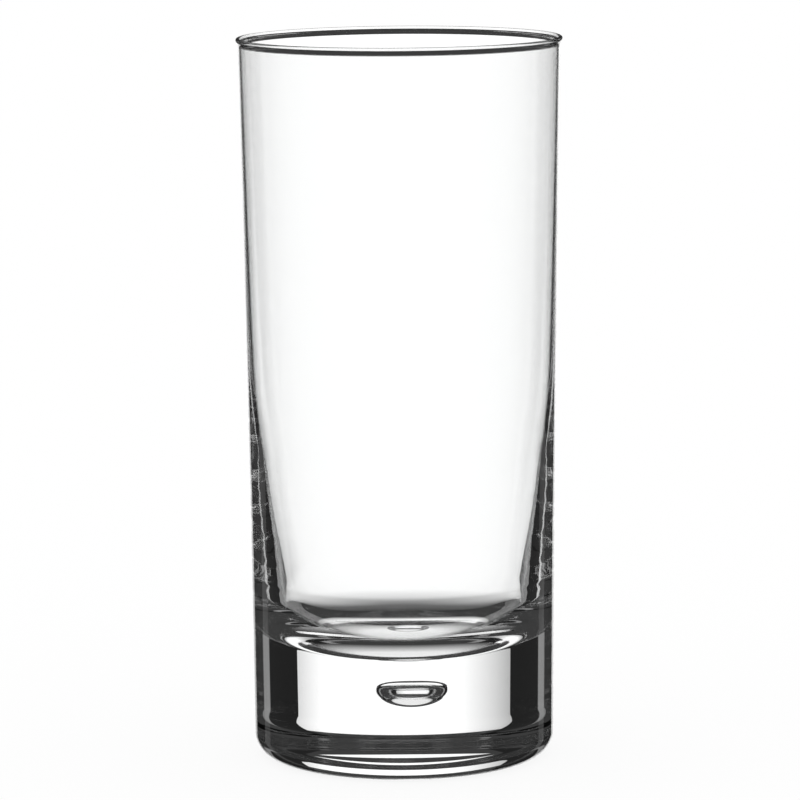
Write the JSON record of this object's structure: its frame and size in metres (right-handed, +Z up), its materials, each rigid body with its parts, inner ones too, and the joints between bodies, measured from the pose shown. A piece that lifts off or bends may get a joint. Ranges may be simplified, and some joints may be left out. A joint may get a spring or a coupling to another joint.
{
  "type": "juice glass",
  "caption": "Tall clear tapered tumbler with a rolled rim, a slim wall and a thick solid base that holds a single air bubble.",
  "frame": {"origin": "middle of the plane that the glass stands on", "axes": "+Z up along the glass's axis, towards the rim; +X to the right as the picture shows it; +Y away from the viewer"},
  "size_m": [0.0642, 0.0642, 0.143],
  "materials": {
    "bowl_glass": "clear, fire-polished",
    "base_glass": "clear, fire-polished, with a lightly rubbed resting ring"
  },
  "bodies": {
    "root": {"bowl": "bowl_glass", "base": "base_glass"}
  },
  "joints": []
}
